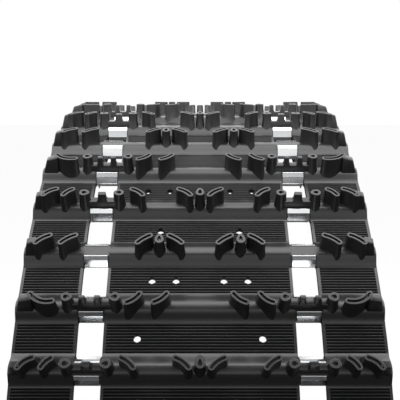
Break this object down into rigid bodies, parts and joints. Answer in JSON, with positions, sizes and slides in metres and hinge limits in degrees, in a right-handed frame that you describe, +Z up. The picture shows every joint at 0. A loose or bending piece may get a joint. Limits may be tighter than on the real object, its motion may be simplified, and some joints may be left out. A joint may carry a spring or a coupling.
{
  "type": "rubber track",
  "caption": "Endless lugged rubber track loop with windowed belt, moulded bars and lugs, and steel guide clips; its sections flex about cross hinges.",
  "frame": {"origin": "on the ground, under the middle of the round loop", "axes": "+X across the belt, +Y from the loop's front to its back, +Z up"},
  "size_m": [0.381, 1.0342, 1.0342],
  "materials": {
    "track_rubber": "satin moulded rubber",
    "clip_steel": "bright zinc-plated pressed steel",
    "fibreglass": "pultruded glass fibre rod",
    "polyester_cord": "woven cord band"
  },
  "bodies": {
    "section_01": {"belt_bands_01": "track_rubber", "tread_bars_01": "track_rubber", "cross_rods_01": "fibreglass", "tension_cords_01": "polyester_cord", "guide_clips_01": "clip_steel"},
    "section_02": {"belt_bands_02": "track_rubber", "tread_bars_02": "track_rubber", "cross_rods_02": "fibreglass", "tension_cords_02": "polyester_cord", "guide_clips_02": "clip_steel"},
    "section_03": {"belt_bands_03": "track_rubber", "tread_bars_03": "track_rubber", "cross_rods_03": "fibreglass", "tension_cords_03": "polyester_cord", "guide_clips_03": "clip_steel"},
    "section_04": {"belt_bands_04": "track_rubber", "tread_bars_04": "track_rubber", "cross_rods_04": "fibreglass", "tension_cords_04": "polyester_cord", "guide_clips_04": "clip_steel"},
    "section_05": {"belt_bands_05": "track_rubber", "tread_bars_05": "track_rubber", "cross_rods_05": "fibreglass", "tension_cords_05": "polyester_cord", "guide_clips_05": "clip_steel"},
    "section_06": {"belt_bands_06": "track_rubber", "tread_bars_06": "track_rubber", "cross_rods_06": "fibreglass", "tension_cords_06": "polyester_cord", "guide_clips_06": "clip_steel"},
    "section_07": {"belt_bands_07": "track_rubber", "tread_bars_07": "track_rubber", "cross_rods_07": "fibreglass", "tension_cords_07": "polyester_cord", "guide_clips_07": "clip_steel"},
    "section_08": {"belt_bands_08": "track_rubber", "tread_bars_08": "track_rubber", "cross_rods_08": "fibreglass", "tension_cords_08": "polyester_cord", "guide_clips_08": "clip_steel"},
    "section_09": {"belt_bands_09": "track_rubber", "tread_bars_09": "track_rubber", "cross_rods_09": "fibreglass", "tension_cords_09": "polyester_cord", "guide_clips_09": "clip_steel"},
    "section_10": {"belt_bands_10": "track_rubber", "tread_bars_10": "track_rubber", "cross_rods_10": "fibreglass", "tension_cords_10": "polyester_cord", "guide_clips_10": "clip_steel"},
    "section_11": {"belt_bands_11": "track_rubber", "tread_bars_11": "track_rubber", "cross_rods_11": "fibreglass", "tension_cords_11": "polyester_cord", "guide_clips_11": "clip_steel"},
    "section_12": {"belt_bands_12": "track_rubber", "tread_bars_12": "track_rubber", "cross_rods_12": "fibreglass", "tension_cords_12": "polyester_cord", "guide_clips_12": "clip_steel"}
  },
  "joints": [
    {"name": "flex_01_02", "type": "hinge", "parent": "section_01", "child": "section_02", "pos_m": [0, -0.12654, 0.04485], "axis": [-1, 0, 0], "range_deg": [-18, 18], "stiffness_Nm_per_rad": 180, "springref_deg": 3.03},
    {"name": "flex_02_03", "type": "hinge", "parent": "section_02", "child": "section_03", "pos_m": [0, -0.34572, 0.17139], "axis": [-1, 0, 0], "range_deg": [-2.7, 2.7], "stiffness_Nm_per_rad": 180, "springref_deg": -0.45},
    {"name": "flex_03_04", "type": "hinge", "parent": "section_03", "child": "section_04", "pos_m": [0, -0.47226, 0.39057], "axis": [-1, 0, 0], "range_deg": [-15.3, 15.3], "stiffness_Nm_per_rad": 180, "springref_deg": -2.57},
    {"name": "flex_04_05", "type": "hinge", "parent": "section_04", "child": "section_05", "pos_m": [0, -0.47226, 0.64365], "axis": [-1, 0, 0], "range_deg": [-15.3, 15.3], "stiffness_Nm_per_rad": 180, "springref_deg": -2.57},
    {"name": "flex_05_06", "type": "hinge", "parent": "section_05", "child": "section_06", "pos_m": [0, -0.34572, 0.86283], "axis": [-1, 0, 0], "range_deg": [-2.7, 2.7], "stiffness_Nm_per_rad": 180, "springref_deg": -0.45},
    {"name": "flex_06_07", "type": "hinge", "parent": "section_06", "child": "section_07", "pos_m": [0, -0.12654, 0.98938], "axis": [-1, 0, 0], "range_deg": [-18, 18], "stiffness_Nm_per_rad": 180, "springref_deg": 3.03},
    {"name": "flex_01_12", "type": "hinge", "parent": "section_01", "child": "section_12", "pos_m": [0, 0.12654, 0.04485], "axis": [1, 0, 0], "range_deg": [-18, 18], "stiffness_Nm_per_rad": 180, "springref_deg": 3.03},
    {"name": "flex_12_11", "type": "hinge", "parent": "section_12", "child": "section_11", "pos_m": [0, 0.34572, 0.17139], "axis": [1, 0, 0], "range_deg": [-2.7, 2.7], "stiffness_Nm_per_rad": 180, "springref_deg": -0.45},
    {"name": "flex_11_10", "type": "hinge", "parent": "section_11", "child": "section_10", "pos_m": [0, 0.47226, 0.39057], "axis": [1, 0, 0], "range_deg": [-15.3, 15.3], "stiffness_Nm_per_rad": 180, "springref_deg": -2.57},
    {"name": "flex_10_09", "type": "hinge", "parent": "section_10", "child": "section_09", "pos_m": [0, 0.47226, 0.64365], "axis": [1, 0, 0], "range_deg": [-15.3, 15.3], "stiffness_Nm_per_rad": 180, "springref_deg": -2.57},
    {"name": "flex_09_08", "type": "hinge", "parent": "section_09", "child": "section_08", "pos_m": [0, 0.34572, 0.86283], "axis": [1, 0, 0], "range_deg": [-2.7, 2.7], "stiffness_Nm_per_rad": 180, "springref_deg": -0.45}
  ],
  "couplings": [
    {"joint": "flex_02_03", "follows": "flex_01_02", "ratio": -0.15},
    {"joint": "flex_03_04", "follows": "flex_01_02", "ratio": -0.85},
    {"joint": "flex_04_05", "follows": "flex_01_02", "ratio": -0.85},
    {"joint": "flex_05_06", "follows": "flex_01_02", "ratio": -0.15},
    {"joint": "flex_06_07", "follows": "flex_01_02", "ratio": 1},
    {"joint": "flex_01_12", "follows": "flex_01_02", "ratio": 1},
    {"joint": "flex_12_11", "follows": "flex_01_02", "ratio": -0.15},
    {"joint": "flex_11_10", "follows": "flex_01_02", "ratio": -0.85},
    {"joint": "flex_10_09", "follows": "flex_01_02", "ratio": -0.85},
    {"joint": "flex_09_08", "follows": "flex_01_02", "ratio": -0.15}
  ]
}
